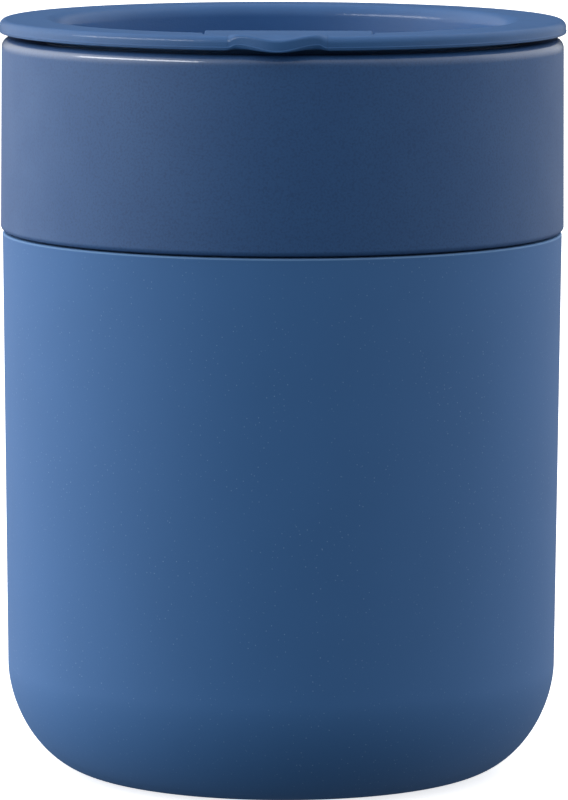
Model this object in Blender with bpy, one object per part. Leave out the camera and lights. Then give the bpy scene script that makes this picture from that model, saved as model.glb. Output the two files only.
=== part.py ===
# Travel mug: a stoneware cup in a silicone sleeve, closed by a press-in lid with a hinged sip flap.
# Metres, +Z up. The origin is the middle of the underside, and the flap's thumb tab faces -Y.

import math

import bmesh
import bpy
from mathutils import Matrix, Vector

# Fineness of the round shapes
ROUND_STEPS = 48
SMALL_STEPS = 16
ARC_STEPS = 4

# Clearances
GAP = 0.0003              # between two pieces that touch
PIN_CLEARANCE = 0.00005   # between the hinge pin and the barrel that turns on it

# Cup
CUP_TOP = 0.1171          # rim above the ground
BAND_HEIGHT = 0.0306      # bare ceramic above the sleeve
BAND_RADIUS = 0.0446      # at the rim
BAND_FLARE = 0.0002       # more radius at the band's lower edge
RIM_OUTER_ROUND = 0.0015
RIM_INNER_ROUND = 0.0012
BAND_EDGE_ROUND = 0.0010
BAND_WALL = 0.0052        # from the band's outside at the rim to the mouth
MOUTH_DEPTH = 0.0170      # straight part that takes the lid
SHOULDER_DEPTH = 0.0180   # eased step below it
CUP_WALL = 0.0044
CUP_FLOOR = 0.0050
BOWL_ROUND = 0.0120
FOOT_INSET = 0.0060       # width of the cup's foot ring
FOOT_DEPTH = 0.0008

# Sleeve
SLEEVE_SETBACK = 0.0003   # how far it lies inside the band's lower edge
SLEEVE_TAPER = 0.0007     # loss of radius from the top to the corner
SLEEVE_WALL = 0.0022
SLEEVE_BASE = 0.0025
SLEEVE_LIP_ROUND = 0.0005
CORNER_ACROSS = 0.0129
CORNER_UP = 0.0171
CORNER_POWER = 1.81       # 2 is an ellipse
REST_RING = 0.0060        # width of the ring that the mug stands on
REST_DEPTH = 0.0006

# Lid
LID_OVERHANG = 0.0004     # flange beyond the rim
LID_SEAT = 0.00045        # flange above the rim
FLANGE_THICKNESS = 0.0025
FLANGE_EDGE_ROUND = 0.0011
DISH_EDGE_ROUND = 0.0022
DISH_DEPTH = 0.0090
DISH_FLOOR = 0.0018
DISH_DRAFT = 0.0006       # loss of radius from the dish's edge to its floor
DISH_FILLET = 0.0020
SKIRT_SPACE = 0.0020      # from the skirt to the mouth
SKIRT_WALL = 0.0018
SKIRT_DEPTH = 0.0130
RIB_PROUD = 0.0012        # ribs that hold the gasket
RIB_HEIGHT = 0.0010
RIB_DROP = 0.0049         # upper rib's top edge below the lid's top
GROOVE_HEIGHT = 0.0036
VENT_RADIUS = 0.0009
VENT_PLACE = 0.0240       # behind the middle

# Gasket
GASKET_BODY = 0.0008
FIN_HEIGHT = 0.0009

# Flap and hinge
FLAP_CENTRE = 0.0009      # sideways place of the flap's wide part
FLAP_HALF_WIDTH = 0.0129
FLAP_THICKNESS = 0.0020
FLAP_REACH = 0.0086       # from the barrel's axis to the front of the wide part
FLAP_CORNER_ROUND = 0.0008
BARREL_RADIUS = 0.0015
HINGE_INSET = 0.0016      # barrel's axis inside the line where the lugs' outer sides meet the dish's wall
PIN_RADIUS = 0.0006
LUG_WIDTH = 0.0022
LUG_TOP_DROP = 0.00045    # lug's top below the flap's top
LUG_HALF_DEPTH = 0.0012

# Thumb tab
TAB_CENTRE = -0.0008
TAB_HALF_WIDTH = 0.0076
TAB_THICKNESS = 0.0013
TAB_OVERHANG = 0.0011     # lip beyond the flange at its middle
TAB_DIP = 0.00042         # middle of the front edge below the flap's top
TAB_RISE = 0.00033        # two shoulders above it
TAB_SHOULDER = 0.0062     # shoulder from the tab's middle
LIP_DROP = 0.0011         # how far the lip hangs below the tab's underside
TAB_EDGE = 0.00035

# Pedestal and sip slot
PEDESTAL_MARGIN = 0.0002  # beyond the lugs
PEDESTAL_WALL = 0.0016
SLOT_HALF_WIDTH = 0.0095
SLOT_WIDTH = 0.0028
SLOT_SETBACK = 0.0003     # slot's front inside the dish's wall
STOPPER_CLEARANCE = 0.0004
STOPPER_HEIGHT = 0.0018
STOPPER_TAPER = 0.0004
PEG_RADIUS = 0.00045
PEG_LENGTH = 0.0010
PEG_PLACE = 0.0055        # either side of the stopper's middle

# Levels and radii that follow
seam = CUP_TOP - BAND_HEIGHT
mouth_radius = BAND_RADIUS - BAND_WALL
band_low_radius = BAND_RADIUS + BAND_FLARE
sleeve_top_radius = band_low_radius - SLEEVE_SETBACK
sleeve_low_radius = sleeve_top_radius - SLEEVE_TAPER
base_radius = sleeve_low_radius - CORNER_ACROSS
cup_inset = SLEEVE_WALL + GAP
cup_low_radius = sleeve_low_radius - cup_inset
cup_bottom = SLEEVE_BASE + GAP
lid_underside = CUP_TOP + LID_SEAT
lid_top = lid_underside + FLANGE_THICKNESS
lid_radius = BAND_RADIUS + LID_OVERHANG
skirt_radius = mouth_radius - SKIRT_SPACE
dish_radius = skirt_radius - SKIRT_WALL
dish_floor = lid_top - DISH_DEPTH
lid_floor_underside = dish_floor - DISH_FLOOR
skirt_bottom = lid_top - SKIRT_DEPTH
rib_radius = skirt_radius + RIB_PROUD
groove_top = lid_top - RIB_DROP - RIB_HEIGHT
groove_bottom = groove_top - GROOVE_HEIGHT

lug_inner = FLAP_HALF_WIDTH + GAP
lug_outer = lug_inner + LUG_WIDTH
pedestal_half_width = lug_outer + PEDESTAL_MARGIN
hinge_y = HINGE_INSET - math.sqrt(dish_radius ** 2 - (lug_outer + FLAP_CENTRE) ** 2)
hinge_z = lid_top - BARREL_RADIUS
flap_underside = lid_top - FLAP_THICKNESS
flap_front = hinge_y - FLAP_REACH
pedestal_back = hinge_y + BARREL_RADIUS
pedestal_step = hinge_y - BARREL_RADIUS - GAP
pedestal_low = hinge_z - BARREL_RADIUS - GAP
pedestal_high = flap_underside - GAP
slot_front = -(dish_radius - SLOT_SETBACK)
slot_back = slot_front + SLOT_WIDTH


def clear_scene():
    for obj in list(bpy.data.objects):
        bpy.data.objects.remove(obj)


def finish(name, rgb, roughness, metallic=0.0):
    """A plain material with the piece's colour, roughness and metallic value."""
    made = bpy.data.materials.new(name)
    made.use_nodes = True
    shader = made.node_tree.nodes["Principled BSDF"]
    shader.inputs["Base Color"].default_value = (*rgb, 1.0)
    shader.inputs["Roughness"].default_value = roughness
    shader.inputs["Metallic"].default_value = metallic
    return made


def mesh_object(name, bm, material=None):
    """Closes up the bmesh, turns its faces outwards and makes it an object, smooth but for its edges."""
    bmesh.ops.remove_doubles(bm, verts=bm.verts, dist=1e-7)
    bmesh.ops.recalc_face_normals(bm, faces=bm.faces)
    mesh = bpy.data.meshes.new(name)
    bm.to_mesh(mesh)
    bm.free()
    mesh.shade_smooth()
    mesh.set_sharp_from_angle(angle=math.radians(35))
    obj = bpy.data.objects.new(name, mesh)
    bpy.context.scene.collection.objects.link(obj)
    if material:
        mesh.materials.append(material)
    return obj


def boolean(obj, operation, other):
    """Adds a Boolean modifier, and hides the other shape from the render."""
    other.hide_render = True
    other.display_type = "WIRE"
    modifier = obj.modifiers.new(other.name, "BOOLEAN")
    modifier.operation = operation
    modifier.solver = "EXACT"
    modifier.object = other


def arc(centre, radius, start, end, steps=ARC_STEPS):
    """Points from the start to the end angle, in degrees from outwards, round a centre (r, z)."""
    points = []
    for step in range(steps + 1):
        angle = math.radians(start + (end - start) * step / steps)
        points.append((centre[0] + radius * math.cos(angle), centre[1] + radius * math.sin(angle)))
    return points


def corner(centre, across, up, power, steps=9):
    """A quarter of a superellipse from straight outwards to straight down, round a centre (r, z)."""
    points = []
    for step in range(steps + 1):
        angle = math.pi / 2 * step / steps
        points.append((
            centre[0] + across * math.cos(angle) ** (2 / power),
            centre[1] - up * math.sin(angle) ** (2 / power),
        ))
    return points


def eased(top, bottom, steps=6):
    """Points down an S-shaped step between two points (r, z)."""
    points = []
    for step in range(steps + 1):
        share = step / steps
        ease = (1 - math.cos(math.pi * share)) / 2
        points.append((top[0] + (bottom[0] - top[0]) * ease, top[1] + (bottom[1] - top[1]) * share))
    return points


def turned(name, profile, material, closed=False, steps=ROUND_STEPS):
    """Spins a profile of (r, z) points about Z. A closed one is a ring's; an open one starts and ends at 0."""
    bm = bmesh.new()
    verts = [bm.verts.new((r, 0.0, z)) for r, z in profile]
    edges = [bm.edges.new(pair) for pair in zip(verts, verts[1:])]
    if closed:
        edges.append(bm.edges.new((verts[-1], verts[0])))
    bmesh.ops.spin(
        bm, geom=verts + edges, cent=(0, 0, 0), axis=(0, 0, 1), dvec=(0, 0, 0),
        angle=2 * math.pi, steps=steps, use_merge=True, use_duplicate=False,
    )
    return mesh_object(name, bm, material)


def prism(name, outline, low, high, material=None):
    """An upright block with an outline of (x, y) points."""
    bm = bmesh.new()
    base = bm.faces.new([bm.verts.new((x, y, low)) for x, y in outline])
    top = bmesh.ops.extrude_face_region(bm, geom=[base])["geom"]
    raised = [v for v in top if isinstance(v, bmesh.types.BMVert)]
    bmesh.ops.translate(bm, vec=(0, 0, high - low), verts=raised)
    return mesh_object(name, bm, material)


def box_outline(left, right, front, back):
    return [(left, front), (right, front), (right, back), (left, back)]


def rod(name, radius, left, right, y, z, material=None, steps=SMALL_STEPS):
    """A round bar along X."""
    bm = bmesh.new()
    turn = Matrix.Translation(((left + right) / 2, y, z)) @ Matrix.Rotation(math.pi / 2, 4, "Y")
    bmesh.ops.create_cone(
        bm, cap_ends=True, segments=steps, radius1=radius, radius2=radius, depth=right - left, matrix=turn,
    )
    return mesh_object(name, bm, material)


def post(name, radius, x, y, low, high, material=None, steps=SMALL_STEPS):
    """A round upright bar."""
    bm = bmesh.new()
    bmesh.ops.create_cone(
        bm, cap_ends=True, segments=steps, radius1=radius, radius2=radius, depth=high - low,
        matrix=Matrix.Translation((x, y, (low + high) / 2)),
    )
    return mesh_object(name, bm, material)


def stadium(half_width, front, back, steps=6):
    """Outline of a slot with round ends, centred on x = 0."""
    radius = (back - front) / 2
    middle = (back + front) / 2
    outline = []
    for side, start in ((1, -90), (-1, 90)):
        outline += [
            (side * (half_width - radius) + x, y)
            for x, y in arc((0.0, middle), radius, start, start + 180, steps)
        ]
    return outline


def shifted(outline, sideways):
    return [(x + sideways, y) for x, y in outline]


def pedestal_outline(half_width, radius, back, steps=8):
    """A straight back and sides, with a front that follows a circle about the mug's axis."""
    left, right = FLAP_CENTRE - half_width, FLAP_CENTRE + half_width
    start, end = math.asin(left / radius), math.asin(right / radius)
    front = []
    for step in range(steps + 1):
        angle = start + (end - start) * step / steps
        front.append((radius * math.sin(angle), -radius * math.cos(angle)))
    return front + [(right, back), (left, back)]


def make_cup(material):
    band_bottom_centre = (band_low_radius - BAND_EDGE_ROUND, seam + BAND_EDGE_ROUND)
    inner_low_radius = cup_low_radius - CUP_WALL
    inner_top_radius = sleeve_top_radius - cup_inset - CUP_WALL
    floor = cup_bottom + CUP_FLOOR
    mouth_bottom = CUP_TOP - MOUTH_DEPTH
    foot_radius = cup_low_radius - (CORNER_ACROSS - cup_inset)
    bowl_centre = (inner_low_radius - BOWL_ROUND, floor + BOWL_ROUND)
    shoulder_end = (inner_top_radius, mouth_bottom - SHOULDER_DEPTH)
    profile = [(0.0, floor)]
    profile += reversed(corner(bowl_centre, BOWL_ROUND, BOWL_ROUND, 2, 6))
    profile += reversed(eased((mouth_radius, mouth_bottom), shoulder_end))
    profile += arc((mouth_radius + RIM_INNER_ROUND, CUP_TOP - RIM_INNER_ROUND), RIM_INNER_ROUND, 180, 90)
    profile += arc((BAND_RADIUS - RIM_OUTER_ROUND, CUP_TOP - RIM_OUTER_ROUND), RIM_OUTER_ROUND, 90, 0)
    profile += arc(band_bottom_centre, BAND_EDGE_ROUND, 0, -90)
    profile += [(sleeve_top_radius - cup_inset, seam)]
    profile += corner(
        (base_radius, CORNER_UP), CORNER_ACROSS - cup_inset, CORNER_UP - cup_bottom, CORNER_POWER,
    )
    profile += [
        (foot_radius - FOOT_INSET, cup_bottom),
        (foot_radius - FOOT_INSET - FOOT_DEPTH, cup_bottom + FOOT_DEPTH),
        (0.0, cup_bottom + FOOT_DEPTH),
    ]
    return turned("ceramic_cup", profile, material)


def make_sleeve(material):
    top = seam - GAP
    inner_top = sleeve_top_radius - SLEEVE_WALL
    lip = SLEEVE_LIP_ROUND
    profile = [(0.0, SLEEVE_BASE)]
    profile += reversed(corner(
        (base_radius, CORNER_UP), CORNER_ACROSS - SLEEVE_WALL, CORNER_UP - SLEEVE_BASE, CORNER_POWER,
    ))
    profile += [(inner_top, top)]
    profile += arc((sleeve_top_radius - lip, top - lip), lip, 90, 0)
    profile += corner((base_radius, CORNER_UP), CORNER_ACROSS, CORNER_UP, CORNER_POWER)
    profile += [
        (base_radius - REST_RING, 0.0),
        (base_radius - REST_RING - REST_DEPTH, REST_DEPTH),
        (0.0, REST_DEPTH),
    ]
    return turned("silicone_sleeve", profile, material)


def make_lid(material):
    fillet_centre = (dish_radius - DISH_DRAFT - DISH_FILLET, dish_floor + DISH_FILLET)
    flange = FLANGE_EDGE_ROUND
    profile = [(0.0, dish_floor)]
    profile += arc(fillet_centre, DISH_FILLET, -90, 0)
    profile += arc((dish_radius + DISH_EDGE_ROUND, lid_top - DISH_EDGE_ROUND), DISH_EDGE_ROUND, 180, 90)
    profile += arc((lid_radius - flange, lid_top - flange), flange, 90, 0)
    profile += arc((lid_radius - flange, lid_underside + flange), flange, 0, -90)
    profile += [
        (skirt_radius, lid_underside),
        (skirt_radius, groove_top + RIB_HEIGHT),
        (rib_radius, groove_top + RIB_HEIGHT),
        (rib_radius, groove_top),
        (skirt_radius, groove_top),
        (skirt_radius, groove_bottom),
        (rib_radius, groove_bottom),
        (rib_radius, groove_bottom - RIB_HEIGHT),
        (skirt_radius, groove_bottom - RIB_HEIGHT),
        (skirt_radius, skirt_bottom),
        (dish_radius, skirt_bottom),
        (dish_radius, lid_floor_underside),
        (0.0, lid_floor_underside),
    ]
    lid = turned("lid_body", profile, material)

    # The pedestal stands on the dish's floor and runs into its wall. It is hollow from below.
    wall_middle = (dish_radius + skirt_radius) / 2
    floor_middle = (dish_floor + lid_floor_underside) / 2
    low = pedestal_outline(pedestal_half_width, wall_middle, pedestal_back)
    high = pedestal_outline(pedestal_half_width, wall_middle, pedestal_step)
    hollow_half_width = pedestal_half_width - PEDESTAL_WALL
    hollow = pedestal_outline(hollow_half_width, -slot_front, pedestal_back - PEDESTAL_WALL)
    boolean(lid, "UNION", prism("pedestal", low, floor_middle, pedestal_low))
    boolean(lid, "UNION", prism("pedestal_front", high, floor_middle, pedestal_high))
    for name, side in (("lug_left", -1), ("lug_right", 1)):
        near = FLAP_CENTRE + side * lug_inner
        far = FLAP_CENTRE + side * lug_outer
        front, back = hinge_y - LUG_HALF_DEPTH, hinge_y + LUG_HALF_DEPTH
        outline = box_outline(min(near, far), max(near, far), front, back)
        boolean(lid, "UNION", prism(name, outline, floor_middle, lid_top - LUG_TOP_DROP))
    boolean(lid, "DIFFERENCE", prism(
        "pedestal_hollow", hollow, skirt_bottom - GAP, pedestal_low - PEDESTAL_WALL,
    ))

    # Pockets that take the flap's wide part and the tab's neck, the sip slot, the pin's holes and the vent.
    pocket = box_outline(
        FLAP_CENTRE - FLAP_HALF_WIDTH - GAP, FLAP_CENTRE + FLAP_HALF_WIDTH + GAP,
        flap_front - GAP, pedestal_step,
    )
    notch = box_outline(
        TAB_CENTRE - TAB_HALF_WIDTH - GAP, TAB_CENTRE + TAB_HALF_WIDTH + GAP,
        -lid_radius - TAB_OVERHANG, flap_front + GAP,
    )
    slot = shifted(stadium(SLOT_HALF_WIDTH, slot_front, slot_back), FLAP_CENTRE)
    over = lid_top + GAP
    boolean(lid, "DIFFERENCE", prism("flap_pocket", pocket, pedestal_high, over))
    boolean(lid, "DIFFERENCE", prism("tab_notch", notch, lid_top - TAB_THICKNESS - GAP, over))
    boolean(lid, "DIFFERENCE", prism("sip_slot", slot, pedestal_low - PEDESTAL_WALL - GAP, over))
    boolean(lid, "DIFFERENCE", rod(
        "pin_holes", PIN_RADIUS + PIN_CLEARANCE,
        FLAP_CENTRE - lug_outer - GAP, FLAP_CENTRE + lug_outer + GAP, hinge_y, hinge_z,
    ))
    boolean(lid, "DIFFERENCE", post(
        "vent", VENT_RADIUS, 0.0, VENT_PLACE, lid_floor_underside - GAP, dish_floor + GAP,
    ))
    return lid


def make_gasket(material):
    inner = skirt_radius + GAP
    body = inner + GASKET_BODY
    fin_tip = mouth_radius - GAP
    top, bottom = groove_top - GAP, groove_bottom + GAP
    profile = [(inner, bottom), (inner, top), (body, top)]
    for share in (0.75, 0.3):
        level = bottom + (top - bottom) * share
        profile += [(body, level), (fin_tip, level - FIN_HEIGHT / 3), (body, level - FIN_HEIGHT)]
    profile += [(body, bottom)]
    return turned("lid_gasket", profile, material, closed=True)


def shoulder_wave(x, middle, shoulder):
    """Height across the tab: one value at its middle, another at its shoulders, and none at its sides."""
    away = abs(x)
    if away <= TAB_SHOULDER:
        return middle + (shoulder - middle) * (1 - math.cos(math.pi * away / TAB_SHOULDER)) / 2
    return shoulder * (1 + math.cos(math.pi * (away - TAB_SHOULDER) / (TAB_HALF_WIDTH - TAB_SHOULDER))) / 2


def tab_front(x):
    """Radius of the tab's front edge, which swells beyond the flange in its middle."""
    return lid_radius + TAB_OVERHANG * (1 + math.cos(math.pi * x / TAB_HALF_WIDTH)) / 2


def tab_rows(x):
    """Points over the tab's top and back along its underside, at a place across it, as (radius, z)."""
    front = tab_front(x)
    top = shoulder_wave(x, -TAB_DIP, TAB_RISE)
    drop = shoulder_wave(x, -LIP_DROP, TAB_RISE / 2)
    lip = min(lid_radius + GAP, front - TAB_EDGE / 2)
    under = lid_top - TAB_THICKNESS
    root = -flap_front - FLAP_CORNER_ROUND
    rows = [(root, lid_top)]
    for share in (0.45, 0.65, 0.8, 0.9):
        ease = (1 - math.cos(math.pi * (share - 0.45) / 0.45)) / 2
        rows.append((root + (front - root) * share, lid_top + top * ease))
    rows += [
        (front - TAB_EDGE, lid_top + top),
        (front, lid_top + top - TAB_EDGE),
        (front, under + drop + TAB_EDGE),
        (max(lip, front - TAB_EDGE), under + drop),
        (lip, under + max(drop, 0.0)),
        (root + (front - root) * 0.65, under),
        (root, under),
    ]
    return rows


def make_flap(material):
    """Barrel, wide part and thumb tab, on an object whose origin is on the hinge's axis."""
    bm = bmesh.new()
    columns = []
    steps = 16
    for step in range(steps + 1):
        x = TAB_HALF_WIDTH * (2 * step / steps - 1)
        column = []
        for radius, z in tab_rows(x):
            y = -math.sqrt(radius ** 2 - (x + TAB_CENTRE) ** 2) if radius > -flap_front else -radius
            column.append(bm.verts.new((x + TAB_CENTRE, y, z)))
        columns.append(column)
    for near, far in zip(columns, columns[1:]):
        for index in range(len(near)):
            after = (index + 1) % len(near)
            bm.faces.new((near[index], near[after], far[after], far[index]))
    bm.faces.new(columns[0])
    bm.faces.new(columns[-1])
    bmesh.ops.translate(bm, vec=(-FLAP_CENTRE, -hinge_y, -hinge_z), verts=bm.verts)
    flap = mesh_object("sip_flap", bm, material)
    flap.location = (FLAP_CENTRE, hinge_y, hinge_z)

    left, right = FLAP_CENTRE - FLAP_HALF_WIDTH, FLAP_CENTRE + FLAP_HALF_WIDTH
    cut = FLAP_CORNER_ROUND
    wide = [
        (left, flap_front + cut), (left + cut, flap_front),
        (right - cut, flap_front), (right, flap_front + cut),
        (right, hinge_y), (left, hinge_y),
    ]
    boolean(flap, "UNION", prism("flap_plate", wide, flap_underside, lid_top))
    boolean(flap, "UNION", rod("flap_barrel", BARREL_RADIUS, left, right, hinge_y, hinge_z))
    for name, side in (("peg_left", -1), ("peg_right", 1)):
        boolean(flap, "UNION", post(
            name, PEG_RADIUS, FLAP_CENTRE + side * PEG_PLACE, (slot_front + slot_back) / 2,
            flap_underside - PEG_LENGTH, flap_underside + GAP, steps=8,
        ))
    boolean(flap, "DIFFERENCE", rod(
        "barrel_bore", PIN_RADIUS + PIN_CLEARANCE, left - GAP, right + GAP, hinge_y, hinge_z,
    ))
    return flap


def make_stopper(material, flap):
    """Silicone plug on the flap's two pegs. It narrows downwards, so that it swings out of the slot."""
    top = flap_underside - GAP
    bottom = top - STOPPER_HEIGHT
    front, back = slot_front + STOPPER_CLEARANCE, slot_back - STOPPER_CLEARANCE
    outline = stadium(SLOT_HALF_WIDTH - STOPPER_CLEARANCE, front, back)
    middle = Vector((0.0, (slot_front + slot_back) / 2))
    half_depth = SLOT_WIDTH / 2 - STOPPER_CLEARANCE
    narrow = 1 - STOPPER_TAPER / half_depth
    bm = bmesh.new()
    upper = [bm.verts.new((x, y, top)) for x, y in outline]
    lower = []
    for x, y in outline:
        end = math.copysign(SLOT_HALF_WIDTH - SLOT_WIDTH / 2, x)
        lower.append(bm.verts.new((end + (x - end) * narrow, middle.y + (y - middle.y) * narrow, bottom)))
    for index in range(len(outline)):
        after = (index + 1) % len(outline)
        bm.faces.new((upper[index], upper[after], lower[after], lower[index]))
    bm.faces.new(upper)
    bm.faces.new(lower)
    bmesh.ops.translate(bm, vec=(0, -hinge_y, -hinge_z), verts=bm.verts)
    stopper = mesh_object("flap_stopper", bm, material)
    stopper.parent = flap
    for name, side in (("peg_hole_left", -1), ("peg_hole_right", 1)):
        boolean(stopper, "DIFFERENCE", post(
            name, PEG_RADIUS + GAP / 2, FLAP_CENTRE + side * PEG_PLACE, middle.y,
            flap_underside - PEG_LENGTH - GAP, top + GAP, steps=8,
        ))
    return stopper


def make_pin(material):
    reach = lug_outer - GAP
    left, right = FLAP_CENTRE - reach, FLAP_CENTRE + reach
    return rod("hinge_pin", PIN_RADIUS, left, right, hinge_y, hinge_z, material)


def main():
    clear_scene()
    make_cup(finish("blue_glazed_stoneware", (0.085, 0.17, 0.32), 0.35))
    make_sleeve(finish("blue_silicone", (0.075, 0.17, 0.34), 0.6))
    make_lid(finish("blue_polypropylene", (0.07, 0.15, 0.30), 0.4))
    make_gasket(finish("blue_gasket_silicone", (0.09, 0.18, 0.33), 0.6))
    flap = make_flap(finish("blue_flap_polypropylene", (0.07, 0.15, 0.30), 0.4))
    make_stopper(finish("blue_stopper_silicone", (0.09, 0.18, 0.33), 0.6), flap)
    make_pin(finish("stainless_steel", (0.55, 0.55, 0.56), 0.25, 1.0))


main()
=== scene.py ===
# Travel mug, its looks: a satin-glazed stoneware cup in a silicone sleeve, closed by a press-in lid
# with a sip flap. Metres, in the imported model's own frame: +Z up, the thumb tab faces -Y.

import math

import bpy
from mathutils import Matrix, Vector


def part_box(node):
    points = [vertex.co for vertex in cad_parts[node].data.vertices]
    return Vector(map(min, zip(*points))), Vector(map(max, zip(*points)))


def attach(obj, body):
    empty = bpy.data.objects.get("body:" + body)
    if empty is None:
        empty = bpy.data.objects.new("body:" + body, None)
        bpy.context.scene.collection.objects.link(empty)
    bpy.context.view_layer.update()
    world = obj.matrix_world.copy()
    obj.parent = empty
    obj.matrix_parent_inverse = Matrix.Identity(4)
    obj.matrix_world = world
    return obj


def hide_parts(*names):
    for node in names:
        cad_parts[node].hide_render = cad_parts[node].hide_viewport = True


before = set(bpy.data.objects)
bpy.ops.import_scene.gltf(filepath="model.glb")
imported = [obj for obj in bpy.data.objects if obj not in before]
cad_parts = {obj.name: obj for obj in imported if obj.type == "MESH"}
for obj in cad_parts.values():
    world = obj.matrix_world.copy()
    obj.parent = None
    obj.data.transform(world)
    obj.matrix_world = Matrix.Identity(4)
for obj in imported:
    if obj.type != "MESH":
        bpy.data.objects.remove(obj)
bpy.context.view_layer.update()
print("frame loaded:", len(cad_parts), "nodes")

mm = 0.001
roundSteps = 192          # facets round the mug, a multiple of 4 so that the widest points are met
smallSteps = 48           # facets round pins and barrels
mergeDistance = 0.001 * mm


def arcPoints(centre, radius, start, end, steps=10):
    # start and end in degrees from outwards, round a centre (r, z)
    points = []
    for step in range(steps + 1):
        angle = math.radians(start + (end - start) * step / steps)
        points.append((centre[0] + radius * math.cos(angle), centre[1] + radius * math.sin(angle)))
    return points


def cornerPoints(centre, across, up, power, steps=32):
    # a quarter of a superellipse, from straight outwards to straight down
    points = []
    for step in range(steps + 1):
        angle = math.pi / 2 * step / steps
        outwards = across * math.cos(angle) ** (2 / power)
        downwards = up * math.sin(angle) ** (2 / power)
        points.append((centre[0] + outwards, centre[1] - downwards))
    return points


def easedPoints(top, bottom, steps=16):
    # down an S-shaped step
    points = []
    for step in range(steps + 1):
        share = step / steps
        ease = (1 - math.cos(math.pi * share)) / 2
        points.append((top[0] + (bottom[0] - top[0]) * ease, top[1] + (bottom[1] - top[1]) * share))
    return points


def drawPath(name, points, closed=False):
    # one vertex, extruded from point to point; the object stays in edit mode
    bpy.ops.object.select_all(action="DESELECT")
    bpy.ops.mesh.primitive_plane_add(size=mm)
    piece = bpy.context.object
    piece.name = name
    places = [Vector(point) for point in points]
    ends = places[1:] + places[:1] if closed else places[1:]
    bpy.ops.object.mode_set(mode="EDIT")
    bpy.ops.mesh.select_mode(type="VERT")
    bpy.ops.mesh.merge(type="CENTER")
    bpy.ops.transform.translate(value=places[0])
    for near, far in zip(places, ends):
        bpy.ops.mesh.extrude_region_move(TRANSFORM_OT_translate={"value": far - near})
    return piece


def closeUp(piece, smoothAngle=30):
    # merges doubles, turns the faces outwards and shades smooth but for real edges
    bpy.context.view_layer.objects.active = piece
    if piece.mode != "EDIT":
        bpy.ops.object.mode_set(mode="EDIT")
    bpy.ops.mesh.select_all(action="SELECT")
    bpy.ops.mesh.remove_doubles(threshold=mergeDistance)
    bpy.ops.mesh.normals_make_consistent(inside=False)
    bpy.ops.object.mode_set(mode="OBJECT")
    bpy.ops.object.select_all(action="DESELECT")
    piece.select_set(True)
    bpy.ops.object.shade_smooth_by_angle(angle=math.radians(smoothAngle))
    return piece


def turnRound(name, outline, closed=False):
    # an outline of (r, z) points, turned about the mug's axis
    piece = drawPath(name, [(r, 0.0, z) for r, z in outline], closed)
    bpy.ops.mesh.select_all(action="SELECT")
    bpy.ops.mesh.spin(steps=roundSteps, angle=2 * math.pi, center=(0, 0, 0), axis=(0, 0, 1))
    return closeUp(piece)


def rod(name, radius, left, right, y, z, chamfer=0.0):
    # a round bar along X, turned about its own axis
    outline = [(left, 0.0), (left, radius - chamfer), (left + chamfer, radius)]
    outline += [(right - chamfer, radius), (right, radius - chamfer), (right, 0.0)]
    piece = drawPath(name, [(x, y, z + up) for x, up in outline])
    bpy.ops.mesh.select_all(action="SELECT")
    bpy.ops.mesh.spin(steps=smallSteps, angle=2 * math.pi, center=(0, y, z), axis=(1, 0, 0))
    return closeUp(piece)


def prism(name, outline, low, high, edgeRound=0.0):
    # an upright block on an outline of (x, y) points
    piece = drawPath(name, [(x, y, low) for x, y in outline], closed=True)
    bpy.ops.mesh.select_all(action="SELECT")
    bpy.ops.mesh.remove_doubles(threshold=mergeDistance)
    bpy.ops.mesh.edge_face_add()
    bpy.ops.mesh.extrude_region_move(TRANSFORM_OT_translate={"value": (0, 0, high - low)})
    closeUp(piece)
    if edgeRound:
        roundEdges(piece, edgeRound)
    return piece


def roundEdges(piece, width, angle=40, segments=3):
    modifier = piece.modifiers.new("edges", "BEVEL")
    modifier.width = width
    modifier.segments = segments
    modifier.limit_method = "ANGLE"
    modifier.angle_limit = math.radians(angle)
    modifier.harden_normals = False
    applyModifier(piece, modifier)


def applyModifier(piece, modifier):
    bpy.ops.object.select_all(action="DESELECT")
    bpy.context.view_layer.objects.active = piece
    piece.select_set(True)
    bpy.ops.object.modifier_apply(modifier=modifier.name)


def combine(piece, operation, other):
    modifier = piece.modifiers.new(other.name, "BOOLEAN")
    modifier.operation = operation
    modifier.solver = "EXACT"
    modifier.object = other
    applyModifier(piece, modifier)
    bpy.data.objects.remove(other)


def boxOutline(left, right, front, back):
    return [(left, front), (right, front), (right, back), (left, back)]


def stadium(centreX, halfWidth, front, back, steps=12):
    # a slot with round ends
    radius = (back - front) / 2
    middle = (back + front) / 2
    outline = []
    for side, start in ((1, -90), (-1, 90)):
        end = (centreX + side * (halfWidth - radius), middle)
        outline += arcPoints(end, radius, start, start + 180, steps)
    return outline


# corners of the CAD nodes, which the sizes below follow
cupLow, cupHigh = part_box("ceramic_cup")
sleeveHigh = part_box("silicone_sleeve")[1]
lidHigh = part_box("lid_body")[1]
stopperLow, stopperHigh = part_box("flap_stopper")
gasketLow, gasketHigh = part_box("lid_gasket")
pinLow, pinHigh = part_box("hinge_pin")

cupTop = cupHigh.z
lidTop = lidHigh.z
lidRadius = lidHigh.x
hingeY = (pinLow.y + pinHigh.y) / 2
hingeZ = (pinLow.z + pinHigh.z) / 2
hingeX = (pinLow.x + pinHigh.x) / 2
gap = 0.3 * mm            # between pieces that touch
boreRadius = 0.65 * mm    # of the holes that the hinge pin runs in

# the lower corner that cup and sleeve share
corner = {
    "centreInset": 12.9 * mm,     # from the sleeve's side to the superellipse's centre
    "height": 17.1 * mm,
    "power": 1.81,
    "taper": 0.7 * mm,            # what the sleeve loses in radius on its way down
}
cornerCentre = (sleeveHigh.x - corner["taper"] - corner["centreInset"], corner["height"])

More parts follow.
